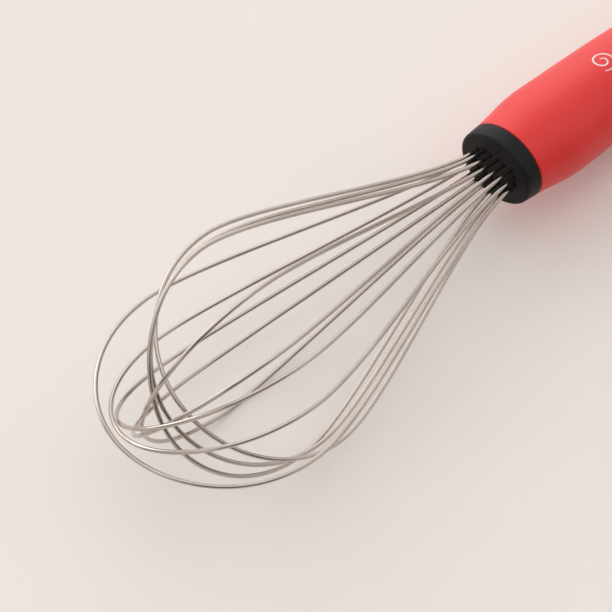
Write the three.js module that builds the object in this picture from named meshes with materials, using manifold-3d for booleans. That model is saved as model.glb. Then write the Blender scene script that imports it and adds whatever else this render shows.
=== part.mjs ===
// A balloon whisk, lying on a table: eight stainless steel wire loops potted into the front of an
// oval handle, which has a black collar, a red soft sleeve over a rigid core, and a black end cap
// with a hanging eye.
//
// Each piece is modelled in the tool frame: z runs along the tool from the front face of the
// collar towards the tip of the wires, x lies across the wide side of the handle and y across its
// flat side. layDown() then rests the tool on the table, with its tip towards -X and +Z up.
// All lengths are in millimetres.

import * as THREE from 'three';
import { mergeVertices } from 'three/addons/utils/BufferGeometryUtils.js';
import Module from 'manifold-3d';

const wasm = await Module();
wasm.setup();

// ---- driving dimensions ----------------------------------------------------------------------

const gap = 0.3; // clearance between neighbouring pieces
const overcut = 1; // how far a cutter reaches past what it cuts

// The handle's section is a circle of the stated mean radius, stretched to an oval of equal area.
const ovalRatio = 1.21;
const wideScale = Math.sqrt(ovalRatio);
const flatScale = 1 / wideScale;
const latheSegments = 40;

// Wires, and the row of holes in the collar that they come out of. The row follows the outline of
// a long slot, with the holes at even distances along it.
const wireRadius = 0.7;
const wireSides = 8;
const wireSteps = 64;
const holeRadius = wireRadius + gap;
const holeSides = 12;
const rowStraight = 4.2; // half the length of the slot's straight sides
const rowRadius = 4.5; // radius of its round ends
const rowShift = -0.1; // place of the first hole, as a share of the distance between holes
const wireDepth = 20; // how far the wire ends reach behind the collar's face

// How a loop bends, as shares of the length that each of its stretches covers
const rootPull = 0.23; // how far it runs straight on from its hole
const bellyPull = 0.21; // how far it runs parallel to the tool before its widest point
const shoulderPull = 0.61; // and after its widest point
const crownPull = 0.49; // how flat it is across its tip

// Each loop, from the longest to the shortest: its tip and its widest point on either side. They
// are bent by hand and by use, so no two are alike.
const loops = [
  { tip: [-0.5, -6.5, 159], near: [37.5, -10.5, 115.5], far: [-36.5, -4.5, 115.5] },
  { tip: [1.5, -5.5, 155.5], near: [34, 10.5, 115], far: [-32.5, -21.5, 112.5] },
  { tip: [-1, -2.5, 153], near: [27, 22.5, 112.5], far: [-28, -28.5, 117.5] },
  { tip: [0, -6, 151], near: [21.5, 26, 119], far: [-21.5, -33.5, 109] },
  { tip: [-3.5, -4, 148.5], near: [4, 32.5, 110.5], far: [-7.5, -39.5, 106.5] },
  { tip: [1, -5, 145], near: [-21.5, 26.5, 109], far: [23, -33.5, 105] },
  { tip: [-4, -5, 140.5], near: [-23, 25, 106], far: [24.5, -31.5, 99.5] },
  { tip: [-1.5, -4, 136.5], near: [-32.5, 14, 97], far: [32, -23, 99] },
];

// Collar: its mean radii, and distances behind its front face
const collarLength = 6;
const collarFrontRadius = 13.2;
const collarBackRadius = 13.55;
const collarEdgeRadius = 1.2;
const faceThickness = 3;

// Handle behind the collar
const coreRadius = 12.3;
const coreEnd = 111;
const boreRadius = 10;
const resinEnd = 23;
const sleeveEnd = 112;
const sleeveOutline = [
  [13.55, collarLength + gap],
  [14.2, 12],
  [15.5, 23],
  [15.4, 38],
  [15, 60],
  [14.1, 85],
  [14.2, 103],
  [14.1, sleeveEnd],
];
const sleevePoints = 24; // points along the sleeve's outline

// End cap: a dome on the back of the handle, with a flat tongue that holds the hanging eye
const capStart = sleeveEnd + gap;
const capRadius = 14.1;
const capRim = 1.5;
const capDome = 7;
const plugStart = 96;
const tongueThickness = 7;
const tongueRoot = 10.5;
const tongueRadius = 8.5;
const tongueSegments = 12;
const eyeRadius = 4.5;
const eyeCentre = 130;

// ---- materials -------------------------------------------------------------------------------

function material(color, roughness, metalness = 0) {
  return new THREE.MeshStandardMaterial({ color, roughness, metalness });
}

const steel = material(0xb9b2aa, 0.25, 1);
const blackNylon = material(0x2b2a2b, 0.55);
const redRubber = material(0xe0504c, 0.6);
const greyPlastic = material(0x5c5c5e, 0.5);
const resin = material(0xc9b083, 0.35);

// ---- geometry helpers ------------------------------------------------------------------------

// A closed geometry as a solid that can be joined and cut.
function toSolid(geometry) {
  const bare = geometry.clone();
  bare.deleteAttribute('normal');
  bare.deleteAttribute('uv');
  const merged = mergeVertices(bare);
  const corners = merged.index.array;
  const triangles = [];
  for (let i = 0; i < corners.length; i += 3) {
    const [a, b, c] = corners.subarray(i, i + 3);
    if (a !== b && b !== c && c !== a) triangles.push(a, b, c);
  }
  const vertProperties = merged.attributes.position.array;
  const triVerts = new Uint32Array(triangles);
  return new wasm.Manifold(new wasm.Mesh({ numProp: 3, vertProperties, triVerts }));
}

function toGeometry(solid) {
  const { vertProperties, triVerts } = solid.getMesh();
  const geometry = new THREE.BufferGeometry();
  geometry.setAttribute('position', new THREE.BufferAttribute(vertProperties, 3));
  geometry.setIndex(new THREE.BufferAttribute(triVerts, 1));
  const faceted = geometry.toNonIndexed();
  faceted.computeVertexNormals();
  return faceted;
}

// Turns an outline of [radius, distance behind the collar's face] points about the tool's axis,
// then stretches it to the handle's oval. The outline starts and ends on the axis or closes on
// itself.
function ovalLathe(outline) {
  const points = outline.map(([radius, back]) => new THREE.Vector2(radius, -back));
  const round = new THREE.LatheGeometry(points.reverse(), latheSegments).rotateX(Math.PI / 2);
  return round.scale(wideScale, flatScale, 1);
}

// The outline of a plain rod between two distances behind the collar's face.
function rod(radius, start, end) {
  return [[0, start], [radius, start], [radius, end], [0, end]];
}

// A shape in the x-y plane, extruded from start to end behind the collar's face.
function extrudeBack(shape, start, end, curveSegments) {
  const depth = end - start;
  const plate = new THREE.ExtrudeGeometry(shape, { depth, bevelEnabled: false, curveSegments });
  return plate.translate(0, 0, -end);
}

function disc(x, y, radius) {
  return new THREE.Shape().absarc(x, y, radius, 0, 2 * Math.PI);
}

const holeRow = new THREE.Path()
  .absarc(rowStraight, 0, rowRadius, 0, Math.PI / 2)
  .absarc(-rowStraight, 0, rowRadius, Math.PI / 2, (3 * Math.PI) / 2)
  .absarc(rowStraight, 0, rowRadius, (3 * Math.PI) / 2, 2 * Math.PI);

// The hole on the near side of a loop; the one on its far side lies opposite.
function nearHoleCentre(index) {
  const share = (index + rowShift) / (2 * loops.length);
  const { x, y } = holeRow.getPoint((share + 1) % 1);
  return new THREE.Vector3(x, y, 0);
}

function holeCentres() {
  const near = loops.map((loop, index) => nearHoleCentre(index));
  return [...near, ...near.map((centre) => centre.clone().negate())];
}

// ---- wires -----------------------------------------------------------------------------------

const alongTool = new THREE.Vector3(0, 0, 1);

// Half of a loop, from its hole to its tip: two cubic curves that meet at the widest point.
function halfLoop(hole, belly, tip, acrossTip) {
  const outward = new THREE.Vector3().subVectors(belly, tip).setZ(0);
  const shoulder = shoulderPull * (tip.z - belly.z);
  return [
    new THREE.CubicBezierCurve3(
      hole,
      hole.clone().addScaledVector(alongTool, rootPull * belly.z),
      belly.clone().addScaledVector(alongTool, -bellyPull * belly.z),
      belly,
    ),
    new THREE.CubicBezierCurve3(
      belly,
      belly.clone().addScaledVector(alongTool, shoulder),
      tip.clone().addScaledVector(acrossTip, crownPull * outward.length()),
      tip,
    ),
  ];
}

function reversed(curve) {
  return new THREE.CubicBezierCurve3(curve.v3, curve.v2, curve.v1, curve.v0);
}

// The centre line of a loop: straight out of the resin, round the balloon and straight back in.
function loopPath(loop, index) {
  const tip = new THREE.Vector3(...loop.tip);
  const near = new THREE.Vector3(...loop.near);
  const far = new THREE.Vector3(...loop.far);
  const nearHole = nearHoleCentre(index);
  const farHole = nearHole.clone().negate();
  const acrossTip = new THREE.Vector3().subVectors(near, far).setZ(0).normalize();
  const [nearRoot, nearCrown] = halfLoop(nearHole, near, tip, acrossTip);
  const [farRoot, farCrown] = halfLoop(farHole, far, tip, acrossTip.clone().negate());
  const nearEnd = nearHole.clone().setZ(-wireDepth);
  const farEnd = farHole.clone().setZ(-wireDepth);

  const path = new THREE.CurvePath();
  path.add(new THREE.LineCurve3(nearEnd, nearHole));
  path.add(nearRoot);
  path.add(nearCrown);
  path.add(reversed(farCrown));
  path.add(reversed(farRoot));
  path.add(new THREE.LineCurve3(farHole, farEnd));
  return path;
}

function wireLoop(loop, index) {
  return new THREE.ExtrudeGeometry(disc(0, 0, wireRadius), {
    extrudePath: loopPath(loop, index),
    steps: wireSteps,
    curveSegments: wireSides / 2,
    bevelEnabled: false,
  });
}

// ---- handle ----------------------------------------------------------------------------------

// The end of the handle that the wires come out of: a face with sixteen holes, a rounded front
// edge and a skirt that fits over the core.
function collar() {
  const outline = [[0, 0]];
  const edgeSteps = 4;
  for (let step = 0; step <= edgeSteps; step++) {
    const turn = (step / edgeSteps) * (Math.PI / 2);
    const inset = collarEdgeRadius * (1 - Math.sin(turn));
    const back = collarEdgeRadius * (1 - Math.cos(turn));
    outline.push([collarFrontRadius - inset, back]);
  }
  outline.push([collarBackRadius, collarLength], [0, collarLength]);

  let solid = toSolid(ovalLathe(outline));
  const pocket = rod(coreRadius + gap, faceThickness, collarLength + overcut);
  solid = solid.subtract(toSolid(ovalLathe(pocket)));
  for (const centre of holeCentres()) {
    const hole = disc(centre.x, centre.y, holeRadius);
    const drill = extrudeBack(hole, -overcut, collarLength, holeSides / 2);
    solid = solid.subtract(toSolid(drill));
  }
  return toGeometry(solid);
}

// The cast plug that the wire ends are held in.
function resinPlug() {
  const radius = boreRadius - gap;
  const shape = new THREE.Shape();
  shape.absellipse(0, 0, radius * wideScale, radius * flatScale, 0, 2 * Math.PI);
  for (const centre of holeCentres()) {
    shape.holes.push(disc(centre.x, centre.y, holeRadius));
  }
  return extrudeBack(shape, faceThickness + gap, resinEnd, holeSides / 2);
}

// The rigid oval tube under the sleeve.
function handleCore() {
  const start = faceThickness + gap;
  const body = toSolid(ovalLathe(rod(coreRadius, start, coreEnd)));
  const bore = toSolid(ovalLathe(rod(boreRadius, start - overcut, coreEnd + overcut)));
  return toGeometry(body.subtract(bore));
}

// The soft sleeve: a smooth curve outside, and inside the straight oval of the core.
function gripSleeve() {
  const spline = new THREE.SplineCurve(sleeveOutline.map((point) => new THREE.Vector2(...point)));
  const outside = spline.getPoints(sleevePoints).map((point) => [point.x, point.y]);
  const insideRadius = coreRadius + gap;
  const start = sleeveOutline[0];
  return ovalLathe([...outside, [insideRadius, sleeveEnd], [insideRadius, start[1]], start]);
}

// The closed back of the handle, with a plug that fits in the core's bore.
function endCap() {
  const outline = [[0, capStart], [capRadius, capStart], [capRadius, capStart + capRim]];
  const domeSteps = 6;
  for (let step = 1; step <= domeSteps; step++) {
    const turn = (step / domeSteps) * (Math.PI / 2);
    const back = capStart + capRim + capDome * Math.sin(turn);
    outline.push([step < domeSteps ? capRadius * Math.cos(turn) : 0, back]);
  }
  const dome = toSolid(ovalLathe(outline));
  const plug = toSolid(ovalLathe(rod(boreRadius - gap, plugStart, capStart + capRim)));

  // The tongue is drawn with its length upwards, then laid back along the tool.
  const tongueShape = new THREE.Shape();
  tongueShape.moveTo(-tongueRoot, capStart + capRim / 2);
  tongueShape.lineTo(tongueRoot, capStart + capRim / 2);
  tongueShape.lineTo(tongueRadius, eyeCentre);
  tongueShape.absarc(0, eyeCentre, tongueRadius, 0, Math.PI);
  tongueShape.holes.push(disc(0, eyeCentre, eyeRadius));
  const tongue = new THREE.ExtrudeGeometry(tongueShape, {
    depth: tongueThickness,
    bevelEnabled: false,
    curveSegments: tongueSegments,
  });
  tongue.translate(0, 0, -tongueThickness / 2).rotateX(-Math.PI / 2);
  return toGeometry(dome.add(plug).add(toSolid(tongue)));
}

// ---- assembly --------------------------------------------------------------------------------

const tool = new THREE.Group();

function addPiece(name, geometry, pieceMaterial) {
  const piece = new THREE.Mesh(geometry, pieceMaterial);
  piece.name = name;
  tool.add(piece);
  return piece;
}

const wires = loops.map((loop, index) =>
  addPiece(`wire_loop_${index + 1}`, wireLoop(loop, index), steel),
);
addPiece('collar', collar(), blackNylon);
addPiece('resin_plug', resinPlug(), resin);
addPiece('handle_core', handleCore(), greyPlastic);
const sleeve = addPiece('grip_sleeve', gripSleeve(), redRubber);
const cap = addPiece('end_cap', endCap(), blackNylon);

// The point of some pieces that is lowest when the tool is pitched with its tip up.
function lowestPoint(pieces, pitch) {
  const up = new THREE.Vector3(0, Math.cos(pitch), Math.sin(pitch));
  const point = new THREE.Vector3();
  const lowest = new THREE.Vector3();
  let lowestHeight = Infinity;
  for (const piece of pieces) {
    const positions = piece.geometry.getAttribute('position');
    for (let i = 0; i < positions.count; i++) {
      const height = point.fromBufferAttribute(positions, i).dot(up);
      if (height < lowestHeight) {
        lowestHeight = height;
        lowest.copy(point);
      }
    }
  }
  return lowest;
}

// The pitch at which the balloon and the back of the handle both touch the table.
function restingPitch() {
  let pitch = 0;
  for (let pass = 0; pass < 5; pass++) {
    const front = lowestPoint(wires, pitch);
    const back = lowestPoint([sleeve, cap], pitch);
    pitch = Math.atan2(back.y - front.y, front.z - back.z);
  }
  return pitch;
}

// Lays the tool along X with its tip towards -X, standing on Z = 0 and centred on the Z axis.
function layDown() {
  const pitch = restingPitch();
  const across = new THREE.Vector3(0, -1, 0);
  const upward = new THREE.Vector3(Math.sin(pitch), 0, Math.cos(pitch));
  const forward = new THREE.Vector3(-Math.cos(pitch), 0, Math.sin(pitch));
  tool.setRotationFromMatrix(new THREE.Matrix4().makeBasis(across, upward, forward));
  const box = new THREE.Box3().setFromObject(tool, true);
  const centre = box.getCenter(new THREE.Vector3());
  tool.position.set(-centre.x, -centre.y, -box.min.z);
}

layDown();

const whisk = new THREE.Group();
whisk.add(tool);

export default whisk;
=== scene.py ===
"""Looks for the balloon whisk: smooth wires, collar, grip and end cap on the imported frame."""

import math

import bmesh
import bpy
from mathutils import Matrix, Vector


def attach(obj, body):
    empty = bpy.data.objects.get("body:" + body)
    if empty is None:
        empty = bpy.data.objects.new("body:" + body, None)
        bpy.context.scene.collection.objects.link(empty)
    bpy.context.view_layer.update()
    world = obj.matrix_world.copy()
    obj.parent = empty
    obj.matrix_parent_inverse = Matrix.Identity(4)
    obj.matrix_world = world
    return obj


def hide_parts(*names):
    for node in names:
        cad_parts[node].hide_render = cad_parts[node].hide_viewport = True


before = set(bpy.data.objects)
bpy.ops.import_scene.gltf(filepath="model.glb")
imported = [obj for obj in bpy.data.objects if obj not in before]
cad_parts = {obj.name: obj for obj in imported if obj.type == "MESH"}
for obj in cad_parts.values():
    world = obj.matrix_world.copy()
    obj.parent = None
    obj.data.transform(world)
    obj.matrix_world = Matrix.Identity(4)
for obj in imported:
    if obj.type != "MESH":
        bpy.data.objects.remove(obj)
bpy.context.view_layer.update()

MM = 0.001

# ---- sizes, in millimetres in the tool frame --------------------------------------------------
# z runs from the collar's front face towards the tip of the wires, x lies across the wide side of
# the handle and y across its flat side. Outlines give [mean radius, distance behind the face].

OVAL_RATIO = 1.21
WIDE = math.sqrt(OVAL_RATIO)
FLAT = 1 / WIDE
ROUND_SEGMENTS = 144
GAP = 0.3  # between pieces of the handle

# Wires, and the slot-shaped row of holes in the collar that they come out of
WIRE_RADIUS = 0.7
WIRE_DEPTH = 20  # how far the wire ends reach behind the collar's face
ROW_STRAIGHT = 4.2  # half the length of the slot's straight sides
ROW_RADIUS = 4.5  # radius of its round ends
ROW_SHIFT = -0.1  # place of the first hole, as a share of the distance between holes
HOLE_RADIUS = 0.85
HOLE_SEGMENTS = 32

# How a loop bends, as shares of the length that each of its stretches covers
ROOT_PULL = 0.23
BELLY_PULL = 0.21
SHOULDER_PULL = 0.61
CROWN_PULL = 0.49

# Each loop, from the longest to the shortest: its tip and its widest point on either side.
LOOPS = [
    {"tip": (-0.5, -6.5, 159), "near": (37.5, -10.5, 115.5), "far": (-36.5, -4.5, 115.5)},
    {"tip": (1.5, -5.5, 155.5), "near": (34, 10.5, 115), "far": (-32.5, -21.5, 112.5)},
    {"tip": (-1, -2.5, 153), "near": (27, 22.5, 112.5), "far": (-28, -28.5, 117.5)},
    {"tip": (0, -6, 151), "near": (21.5, 26, 119), "far": (-21.5, -33.5, 109)},
    {"tip": (-3.5, -4, 148.5), "near": (4, 32.5, 110.5), "far": (-7.5, -39.5, 106.5)},
    {"tip": (1, -5, 145), "near": (-21.5, 26.5, 109), "far": (23, -33.5, 105)},
    {"tip": (-4, -5, 140.5), "near": (-23, 25, 106), "far": (24.5, -31.5, 99.5)},
    {"tip": (-1.5, -4, 136.5), "near": (-32.5, 14, 97), "far": (32, -23, 99)},
]

COLLAR_LENGTH = 6
COLLAR_FRONT_RADIUS = 13.2
COLLAR_BACK_RADIUS = 13.55
COLLAR_EDGE_RADIUS = 1.2
COLLAR_BEVEL = 0.15
FACE_THICKNESS = 3

CORE_RADIUS = 12.3
CORE_START = FACE_THICKNESS + GAP
SLEEVE_END = 112
SLEEVE_OUTLINE = [
    (13.55, COLLAR_LENGTH + GAP),
    (14.2, 12),
    (15.5, 23),
    (15.4, 38),
    (15, 60),
    (14.1, 85),
    (14.2, 103),
    (14.1, SLEEVE_END),
]
SLEEVE_LIP = 0.5
SLEEVE_STEPS = 120

# The printed swirl on the grip: its middle, as an angle about the tool in degrees and a distance
# behind the collar's face, and the spiral's size
PRINT_ANGLE = 96
PRINT_BACK = 51.5
PRINT_TURNS = 1.6
PRINT_START = 0.9
PRINT_RADIUS = 4.6
PRINT_STROKE = 0.6
PRINT_TAPER = 0.1  # how far into a half wave the stroke's width starts and ends
PRINT_RISE = 0.04
PRINT_STEPS = 120

CAP_START = SLEEVE_END + GAP
CAP_RADIUS = 14.1
CAP_RIM = 1.5
CAP_DOME = 7
CAP_STEPS = 24
TONGUE_THICKNESS = 7
TONGUE_ROOT = 10.5
TONGUE_RADIUS = 8.5
TONGUE_EDGE = 1.2
TONGUE_STEPS = 32
EYE_RADIUS = 4.5
EYE_CENTRE = 130
EYE_STEPS = 48

# ---- camera, in metres and degrees ------------------------------------------------------------

CAMERA_TARGET = Vector((-0.0701, 0.0040, 0.0301))
CAMERA_DISTANCE = 0.809
CAMERA_AZIMUTH = -43.664
CAMERA_ELEVATION = 55.265
CAMERA_ROLL = 1.444
CAMERA_LENS = 155.77

# ---- light ------------------------------------------------------------------------------------
# The studio glows towards one side, has a dark patch where its open side is, is dim near the
# floor, and has a bright low screen and a window at the back. Each pair gives the cosine of the
# angle from the direction and the glow there.

BRIGHT_SIDE = (-0.1, -0.45, 1.0)
GLOW_AWAY = (-0.1, 0.67)
GLOW_FACING = (0.8, 0.965)
OPEN_SIDE = (-0.3, -0.8, 0.6)
PATCH_EDGE = (0.74, 1.0)
PATCH_MIDDLE = (0.91, 0.0)
NEAR_FLOOR = (0.0, 0.15)
ABOVE_FLOOR = (0.35, 1.02)
SCREEN_SIDE = (-0.25, 1.0, 0.15)
SCREEN_EDGE = (0.86, 0.0)
SCREEN_MIDDLE = (0.98, 2.0)
WINDOW_SIDE = (0.4, 0.85, 0.4)
WINDOW_EDGE = (0.70, 0.0)
WINDOW_MIDDLE = (0.98, 1.3)
KEY_STRENGTH = 0.45
KEY_SPREAD = 60  # degrees
LIGHT_COLOUR = (1.0, 0.99, 0.98)


# ---- the tool frame ---------------------------------------------------------------------------


def tool_matrix():
    """Takes tool millimetres to frame metres. Both ends of the handle's core are on its axis."""
    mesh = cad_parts["handle_core"].data
    points = {tuple(round(c, 6) for c in vertex.co) for vertex in mesh.vertices}
    middle = sum(point[0] for point in points) / len(points)
    ends = []
    for is_front in (True, False):
        ring = [Vector(point) for point in points if (point[0] < middle) == is_front]
        ends.append(sum(ring, Vector()) / len(ring))
    front, back = ends
    forward = (front - back).normalized()
    across = Vector((0, -1, 0))
    upward = forward.cross(across)
    face = front + forward * CORE_START * MM
    turn = Matrix((across, upward, forward)).transposed()
    return Matrix.Translation(face) @ turn.to_4x4() @ Matrix.Scale(MM, 4)


TOOL = tool_matrix()


# ---- node materials ---------------------------------------------------------------------------


class Nodes:
    """Short calls for making linked nodes in a tree."""

    def __init__(self, tree):
        self.tree = tree

    def node(self, kind, inputs=None, **settings):
        made = self.tree.nodes.new(kind)
        for key, value in settings.items():
            setattr(made, key, value)
        for key, value in (inputs or {}).items():
            if isinstance(value, bpy.types.NodeSocket):
                self.tree.links.new(value, made.inputs[key])
            else:
                made.inputs[key].default_value = value
        return made


class Shader(Nodes):
    """A Principled material with short calls for the nodes that feed it."""

    def __init__(self, name):
        self.material = bpy.data.materials.new(name)
        self.material.use_nodes = True
        super().__init__(self.material.node_tree)
        self.surface = self.tree.nodes["Principled BSDF"]

    def set(self, **values):
        for key, value in values.items():
            self.surface.inputs[key.replace("_", " ")].default_value = value

    def link(self, socket, name):
        self.tree.links.new(socket, self.surface.inputs[name])

    def noise(self, scale, detail, stretch=(1, 1, 1)):
        """A noise over the object, with its scale in waves per metre."""
        place = self.node("ShaderNodeTexCoord").outputs["Object"]
        place = self.node("ShaderNodeMapping", {"Vector": place, "Scale": stretch}).outputs["Vector"]
        inputs = {"Vector": place, "Scale": scale, "Detail": detail}
        return self.node("ShaderNodeTexNoise", inputs).outputs["Fac"]

    def between(self, factor, low, high):
        """A number that goes from low to high as the factor goes from 0 to 1."""
        made = self.node("ShaderNodeMapRange", {"Value": factor, "To Min": low, "To Max": high})
        return made.outputs["Result"]

    def colour(self, factor, low, high):
        """A base colour that goes from low to high over the middle of a noise's range."""
        made = self.node("ShaderNodeValToRGB", {"Fac": factor})
        for element, position, value in zip(made.color_ramp.elements, (0.3, 0.7), (low, high)):
            element.position = position
            element.color = (*value, 1)
        self.link(made.outputs["Color"], "Base Color")

    def roughness(self, factor, low, high):
        self.link(self.between(factor, low, high), "Roughness")

    def bump(self, height, distance, strength):
        inputs = {"Height": height, "Distance": distance, "Strength": strength}
        self.link(self.node("ShaderNodeBump", inputs).outputs["Normal"], "Normal")


def steel_material():
    shader = Shader("drawn_steel")
    streaks = shader.noise(900, detail=4, stretch=(1, 8, 8))
    patches = shader.noise(60, detail=2)
    shader.set(Metallic=1.0)
    shader.colour(patches, (0.46, 0.402, 0.364), (0.54, 0.477, 0.438))
    shader.roughness(streaks, 0.07, 0.14)
    shader.bump(streaks, 0.01 * MM, 0.3)
    return shader.material


def black_material():
    shader = Shader("black_nylon")
    grain = shader.noise(2500, detail=2)
    patches = shader.noise(90, detail=3)
    shader.set(IOR=1.5, Specular_IOR_Level=0.2)
    shader.colour(patches, (0.0045, 0.004, 0.004), (0.0065, 0.006, 0.006))
    shader.roughness(patches, 0.42, 0.55)
    shader.bump(grain, 0.03 * MM, 0.5)
    return shader.material


def red_material():
    shader = Shader("red_soft_rubber")
    grain = shader.noise(2200, detail=2)
    patches = shader.noise(45, detail=3)
    shader.set(IOR=1.5, Specular_IOR_Level=0.5, Sheen_Weight=0.1, Sheen_Roughness=0.4)
    shader.set(Sheen_Tint=(1.0, 0.86, 0.84, 1))
    shader.colour(patches, (0.705, 0.015, 0.013), (0.735, 0.019, 0.017))
    shader.roughness(patches, 0.39, 0.45)
    shader.bump(grain, 0.03 * MM, 0.4)
    return shader.material


def print_material():
    shader = Shader("white_print")
    specks = shader.noise(1500, detail=2)
    shader.colour(specks, (0.78, 0.62, 0.62), (0.86, 0.72, 0.72))
    shader.roughness(specks, 0.45, 0.55)
    return shader.material


def core_material():
    shader = Shader("grey_polypropylene")
    patches = shader.noise(120, detail=3)
    shader.colour(patches, (0.10, 0.10, 0.105), (0.13, 0.13, 0.135))
    shader.roughness(patches, 0.4, 0.55)
    return shader.material


def resin_material():
    shader = Shader("cast_resin")
    clouds = shader.noise(200, detail=4)
    shader.colour(clouds, (0.50, 0.36, 0.18), (0.66, 0.50, 0.28))
    shader.roughness(clouds, 0.2, 0.35)
    return shader.material


def table_material():
    shader = Shader("pale_table")
    patches = shader.noise(6, detail=2)
    shader.colour(patches, (0.795, 0.743, 0.705), (0.810, 0.757, 0.718))
    shader.set(Roughness=0.8)
    return shader.material


# ---- mesh helpers -----------------------------------------------------------------------------


def new_object(name, data):
    made = bpy.data.objects.new(name, data)
    bpy.context.scene.collection.objects.link(made)
    return made


def baked(source, name):
    """The object with its modifiers or curve applied, as a mesh object; the source goes."""
    bpy.context.view_layer.update()
    graph = bpy.context.evaluated_depsgraph_get()
    mesh = bpy.data.meshes.new_from_object(source.evaluated_get(graph))
    mesh.name = name
    mesh.transform(source.matrix_world)
    bpy.data.objects.remove(source)
    return new_object(name, mesh)


def smooth(piece, sharp_angle=35):
    mesh = piece.data
    mesh.polygons.foreach_set("use_smooth", [True] * len(mesh.polygons))
    mesh.set_sharp_from_angle(angle=math.radians(sharp_angle))


def even_shading(piece):
    """Large flat faces keep their own normals where they meet small round ones."""
    smooth(piece)
    modifier = piece.modifiers.new("normals", "WEIGHTED_NORMAL")
    modifier.keep_sharp = True
    return baked(piece, piece.name)


def finish_piece(piece, material, nodes):
    piece.data.materials.clear()
    piece.data.materials.append(material)
    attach(piece, "root")
    if nodes:
        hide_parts(*nodes)
    return piece


def cad_material(node, material):
    """A new material for a CAD node that keeps its shape."""
    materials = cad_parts[node].data.materials
    materials.clear()
    materials.append(material)


def arc(centre_radius, centre_back, radius, start, end, steps):
    """Outline points on an arc; angle 0 points away from the axis and 90 degrees points back."""
    points = []
    for step in range(steps + 1):
        angle = math.radians(start + (end - start) * step / steps)
        across, back = radius * math.cos(angle), radius * math.sin(angle)
        points.append((centre_radius + across, centre_back + back))
    return points


def mesh_object(name, work):
    """The bmesh, drawn in tool millimetres, as an object; the bmesh goes."""
    bmesh.ops.recalc_face_normals(work, faces=work.faces)
    mesh = bpy.data.meshes.new(name)
    work.to_mesh(mesh)
    work.free()
    mesh.transform(TOOL)
    return new_object(name, mesh)


def bridge(work, first, second):
    """Faces between two rings of points."""
    for index in range(len(first)):
        after = (index + 1) % len(first)
        work.faces.new((first[index], first[after], second[after], second[index]))


def lathe(name, outline):
    """An outline turned about the tool's axis into an oval solid; it closes on itself, or its ends
    are closed with flat faces."""
    work = bmesh.new()
    closed = outline[0] == outline[-1]
    rings = []
    for radius, back in outline[:-1] if closed else outline:
        ring = []
        for index in range(ROUND_SEGMENTS):
            angle = 2 * math.pi * index / ROUND_SEGMENTS
            x, y = radius * WIDE * math.cos(angle), radius * FLAT * math.sin(angle)
            ring.append(work.verts.new((x, y, -back)))
        rings.append(ring)
    if not closed:
        work.faces.new(rings[0])
    for first, second in zip(rings, rings[1:]):
        bridge(work, first, second)
    if closed:
        bridge(work, rings[-1], rings[0])
    else:
        work.faces.new(rings[-1])
    return mesh_object(name, work)


def cut(piece, cutter, operation="DIFFERENCE"):
    modifier = piece.modifiers.new("cut", "BOOLEAN")
    modifier.operation = operation
    modifier.solver = "EXACT"
    modifier.object = cutter
    result = baked(piece, piece.name)
    bpy.data.objects.remove(cutter)
    return result


def bevel(piece, width, segments, angle):
    modifier = piece.modifiers.new("bevel", "BEVEL")
    modifier.width = width * MM
    modifier.segments = segments
    modifier.limit_method = "ANGLE"
    modifier.angle_limit = math.radians(angle)
    return baked(piece, piece.name)


# ---- wires ------------------------------------------------------------------------------------


def hole_centre(index):
    """The holes are evenly spaced along a slot: two straight stretches joined by half circles."""
    quarter = math.pi / 2 * ROW_RADIUS
    row_length = 4 * quarter + 4 * ROW_STRAIGHT
    far_side = index >= len(LOOPS)
    along = (index % len(LOOPS) + ROW_SHIFT) / (2 * len(LOOPS)) * row_length
    straight = min(max(along - quarter, 0), 2 * ROW_STRAIGHT)
    angle = (along - straight) / ROW_RADIUS
    x = ROW_STRAIGHT - straight + ROW_RADIUS * math.cos(angle)
    centre = Vector((x, ROW_RADIUS * math.sin(angle), 0))
    return -centre if far_side else centre


def loop_points(loop, index):
    """The loop's Bezier points as (left handle, point, right handle), in tool millimetres."""
    along = Vector((0, 0, 1))
    level = Vector((1, 1, 0))
    tip, near, far = (Vector(loop[key]) for key in ("tip", "near", "far"))
    across = ((near - far) * level).normalized()

    def half(belly, hole):
        """From the wire's end in the resin to its widest point."""
        end = hole - along * WIRE_DEPTH
        shoulder = belly + along * SHOULDER_PULL * (tip.z - belly.z)
        return [
            (end, end, end.lerp(hole, 1 / 3)),
            (end.lerp(hole, 2 / 3), hole, hole + along * ROOT_PULL * belly.z),
            (belly - along * BELLY_PULL * belly.z, belly, shoulder),
        ]

    near_reach, far_reach = (CROWN_PULL * ((belly - tip) * level).length for belly in (near, far))
    crown = (tip + across * near_reach, tip, tip - across * far_reach)
    hole = hole_centre(index)
    return [*half(near, hole), crown, *(row[::-1] for row in reversed(half(far, -hole)))]


def wire(loop, index, material):
    curve = bpy.data.curves.new("wire", "CURVE")
    curve.dimensions = "3D"
    curve.bevel_depth = WIRE_RADIUS * MM
    curve.bevel_resolution = 6
    curve.resolution_u = 48
    curve.use_fill_caps = True
    rows = loop_points(loop, index)
    spline = curve.splines.new("BEZIER")
    spline.bezier_points.add(len(rows) - 1)
    for point, (left, co, right) in zip(spline.bezier_points, rows):
        point.handle_left_type = point.handle_right_type = "FREE"
        point.handle_left, point.co, point.handle_right = (TOOL @ p for p in (left, co, right))
    name = f"wire_{index + 1}"
    piece = baked(new_object(name, curve), name)
    smooth(piece, 60)
    return finish_piece(piece, material, [f"wire_loop_{index + 1}"])


# ---- handle -----------------------------------------------------------------------------------


def hole_cutters(depth):
    """Sixteen rods through the collar's face."""
    work = bmesh.new()
    rod = {"radius1": HOLE_RADIUS, "radius2": HOLE_RADIUS, "depth": depth, "cap_ends": True}
    for index in range(2 * len(LOOPS)):
        matrix = Matrix.Translation(hole_centre(index))
        bmesh.ops.create_cone(work, segments=HOLE_SEGMENTS, matrix=matrix, **rod)
    return mesh_object("drills", work)


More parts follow.
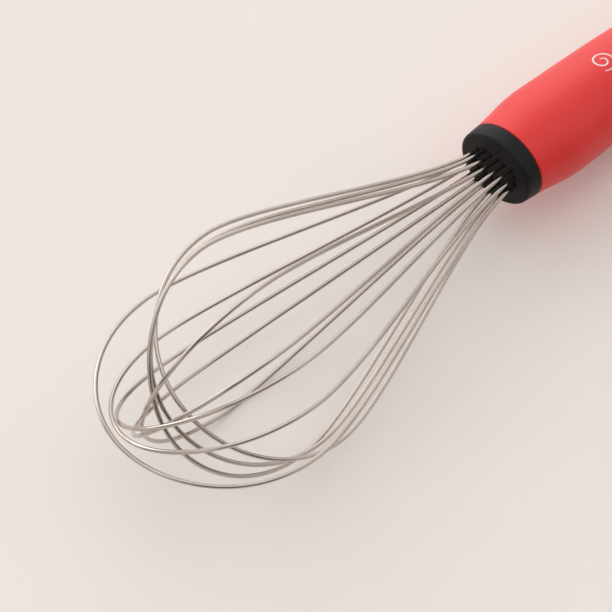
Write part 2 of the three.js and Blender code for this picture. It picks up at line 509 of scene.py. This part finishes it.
def collar(material):
    edge = COLLAR_EDGE_RADIUS
    pocket = CORE_RADIUS + GAP
    outline = arc(COLLAR_FRONT_RADIUS - edge, edge, edge, -90, 0, 10)
    outline += [(COLLAR_BACK_RADIUS, COLLAR_LENGTH)]
    outline += [(pocket, COLLAR_LENGTH), (pocket, FACE_THICKNESS)]
    piece = lathe("collar_ring", outline)
    piece = cut(piece, hole_cutters(4 * FACE_THICKNESS))
    piece = even_shading(bevel(piece, COLLAR_BEVEL, segments=2, angle=50))
    return finish_piece(piece, material, ["collar"])


def spline_outline(points, steps):
    """A smooth curve through the points, as three.js's SplineCurve draws it."""
    last = len(points) - 1
    made = []
    for step in range(steps + 1):
        place = last * step / steps
        index = min(int(place), last - 1)
        t = place - index
        before = points[max(index - 1, 0)]
        start, end = points[index], points[index + 1]
        after = points[min(index + 2, last)]
        made.append(tuple(catmull_rom(*values, t) for values in zip(before, start, end, after)))
    return made


def catmull_rom(before, start, end, after, t):
    slope_in = (end - before) / 2
    slope_out = (after - start) / 2
    cubic = 2 * start - 2 * end + slope_in + slope_out
    square = -3 * start + 3 * end - 2 * slope_in - slope_out
    return ((cubic * t + square) * t + slope_in) * t + start


def sleeve(material):
    outside = spline_outline(SLEEVE_OUTLINE, SLEEVE_STEPS)
    front_radius, front_back = SLEEVE_OUTLINE[0]
    end_radius = SLEEVE_OUTLINE[-1][0]
    inside = CORE_RADIUS + GAP
    lip = arc(front_radius - SLEEVE_LIP, front_back + SLEEVE_LIP, SLEEVE_LIP, -90, 0, 6)
    tail = arc(end_radius - SLEEVE_LIP, SLEEVE_END - SLEEVE_LIP, SLEEVE_LIP, 0, 90, 6)
    body = [p for p in outside if front_back + 2 * SLEEVE_LIP < p[1] < SLEEVE_END - 2 * SLEEVE_LIP]
    outline = lip + body + tail + [(inside, SLEEVE_END), (inside, front_back), lip[0]]
    piece = lathe("grip", outline)
    smooth(piece)
    return finish_piece(piece, material, ["grip_sleeve"])


def on_grip(across, back, rise):
    """A point on the grip, from distances round it and behind the face; rise is above it."""
    outline = spline_outline(SLEEVE_OUTLINE, SLEEVE_STEPS)
    after = next(index for index, point in enumerate(outline) if point[1] > back)
    (low, low_back), (high, high_back) = outline[after - 1], outline[after]
    radius = low + (high - low) * (back - low_back) / (high_back - low_back)
    angle = math.radians(PRINT_ANGLE) + across / (radius * WIDE)
    x, y = (radius * WIDE + rise) * math.cos(angle), (radius * FLAT + rise) * math.sin(angle)
    return Vector((x, y, -back))


def grip_print(material):
    """A swirl printed on the grip, as a thin raised ribbon along a spiral."""
    work = bmesh.new()
    sections = []
    for step in range(PRINT_STEPS + 1):
        share = step / PRINT_STEPS
        angle = 2 * math.pi * PRINT_TURNS * share
        middle = PRINT_START + (PRINT_RADIUS - PRINT_START) * share
        wave = math.sin(math.pi * (PRINT_TAPER + (1 - 2 * PRINT_TAPER) * share))
        half = PRINT_STROKE / 2 * math.sqrt(wave)
        section = []
        for side, rise in ((-half, 1), (half, 1), (half, -1), (-half, -1)):
            across, along = (middle + side) * math.cos(angle), (middle + side) * math.sin(angle)
            corner = on_grip(across, PRINT_BACK + along, rise * PRINT_RISE)
            section.append(work.verts.new(corner))
        sections.append(section)
    for first, second in zip(sections, sections[1:]):
        bridge(work, first, second)
    work.faces.new(sections[0])
    work.faces.new(sections[-1])
    piece = mesh_object("grip_print", work)
    smooth(piece)
    return finish_piece(piece, material, [])


def tongue():
    """The flat tongue with its eye, rounded all round."""
    curve = bpy.data.curves.new("tongue", "CURVE")
    curve.dimensions = "2D"
    curve.fill_mode = "BOTH"
    curve.extrude = TONGUE_THICKNESS / 2 - TONGUE_EDGE
    curve.bevel_depth = TONGUE_EDGE
    curve.bevel_resolution = 4
    curve.offset = -TONGUE_EDGE
    start = CAP_START + CAP_RIM / 2
    outline = [(-TONGUE_ROOT, start), (TONGUE_ROOT, start)]
    outline += arc(0, EYE_CENTRE, TONGUE_RADIUS, 0, 180, TONGUE_STEPS)
    eye = arc(0, EYE_CENTRE, EYE_RADIUS, 0, -360, EYE_STEPS)[:-1]
    for points in (outline, eye):
        spline = curve.splines.new("POLY")
        spline.points.add(len(points) - 1)
        spline.use_cyclic_u = True
        for point, (x, y) in zip(spline.points, points):
            point.co = (x, y, 0, 1)
    made = new_object("tongue", curve)
    made.matrix_world = TOOL @ Matrix.Rotation(math.radians(-90), 4, "X")
    return baked(made, "tongue")


def end_cap(material):
    rim = CAP_START + CAP_RIM
    outline = [(CAP_RADIUS, CAP_START), (CAP_RADIUS, rim)]
    for step in range(1, CAP_STEPS):
        angle = math.pi / 2 * step / CAP_STEPS
        outline.append((CAP_RADIUS * math.cos(angle), rim + CAP_DOME * math.sin(angle)))
    piece = lathe("back_cap", outline)
    piece = even_shading(cut(piece, tongue(), "UNION"))
    return finish_piece(piece, material, ["end_cap"])


# ---- stage ------------------------------------------------------------------------------------


def table_top():
    work = bmesh.new()
    bmesh.ops.create_grid(work, x_segments=8, y_segments=8, size=3)
    mesh = bpy.data.meshes.new("table_top")
    work.to_mesh(mesh)
    work.free()
    top = new_object("table_top", mesh)
    mesh.materials.append(table_material())


def glow_towards(nodes, view, side, away, facing):
    """A glow that changes smoothly between two angles from the side's direction."""
    inputs = {0: view, 1: Vector(side).normalized()}
    cosine = nodes.node("ShaderNodeVectorMath", inputs, operation="DOT_PRODUCT").outputs["Value"]
    ends = {"From Min": away[0], "To Min": away[1], "From Max": facing[0], "To Max": facing[1]}
    ends["Value"] = cosine
    return nodes.node("ShaderNodeMapRange", ends, interpolation_type="SMOOTHSTEP").outputs["Result"]


def studio_glow():
    world = bpy.data.worlds.new("studio")
    bpy.context.scene.world = world
    world.use_nodes = True
    nodes = Nodes(world.node_tree)
    view = nodes.node("ShaderNodeTexCoord").outputs["Generated"]
    glow = glow_towards(nodes, view, BRIGHT_SIDE, GLOW_AWAY, GLOW_FACING)
    patch = glow_towards(nodes, view, OPEN_SIDE, PATCH_EDGE, PATCH_MIDDLE)
    height = glow_towards(nodes, view, (0, 0, 1), NEAR_FLOOR, ABOVE_FLOOR)
    strength = glow
    for factor in (patch, height):
        inputs = {0: strength, 1: factor}
        strength = nodes.node("ShaderNodeMath", inputs, operation="MULTIPLY").outputs[0]
    screen = glow_towards(nodes, view, SCREEN_SIDE, SCREEN_EDGE, SCREEN_MIDDLE)
    window = glow_towards(nodes, view, WINDOW_SIDE, WINDOW_EDGE, WINDOW_MIDDLE)
    for panel in (screen, window):
        inputs = {0: strength, 1: panel}
        strength = nodes.node("ShaderNodeMath", inputs, operation="ADD").outputs[0]
    background = nodes.tree.nodes["Background"]
    background.inputs["Color"].default_value = (*LIGHT_COLOUR, 1)
    nodes.tree.links.new(strength, background.inputs["Strength"])


def key_light():
    """A broad soft light from the side that the studio glows from."""
    data = bpy.data.lights.new("key", "SUN")
    data.energy = KEY_STRENGTH
    data.angle = math.radians(KEY_SPREAD)
    data.color = LIGHT_COLOUR
    key = new_object("key", data)
    key.rotation_mode = "QUATERNION"
    key.rotation_quaternion = Vector(BRIGHT_SIDE).to_track_quat("Z", "Y")


def camera():
    angles = (CAMERA_AZIMUTH, CAMERA_ELEVATION, CAMERA_ROLL)
    azimuth, elevation, roll = (math.radians(angle) for angle in angles)
    level = Vector((-math.sin(azimuth), math.cos(azimuth), 0))
    look = level * math.cos(elevation) - Vector((0, 0, math.sin(elevation)))
    right = look.cross(Vector((0, 0, 1))).normalized()
    down = look.cross(right)
    right, down = (
        right * math.cos(roll) + down * math.sin(roll),
        down * math.cos(roll) - right * math.sin(roll),
    )
    data = bpy.data.cameras.new("camera")
    data.lens = CAMERA_LENS
    data.sensor_width = 36
    data.clip_start = 0.01
    made = new_object("camera", data)
    turn = Matrix((right, -down, -look)).transposed().to_4x4()
    made.matrix_world = Matrix.Translation(CAMERA_TARGET - look * CAMERA_DISTANCE) @ turn
    bpy.context.scene.camera = made


# ---- assembly ---------------------------------------------------------------------------------

steel = steel_material()
black = black_material()
for loop_index, loop_row in enumerate(LOOPS):
    wire(loop_row, loop_index, steel)
collar(black)
sleeve(red_material())
grip_print(print_material())
end_cap(black)
cad_material("handle_core", core_material())
cad_material("resin_plug", resin_material())

table_top()
studio_glow()
key_light()
camera()
bpy.context.scene.view_settings.view_transform = "Standard"
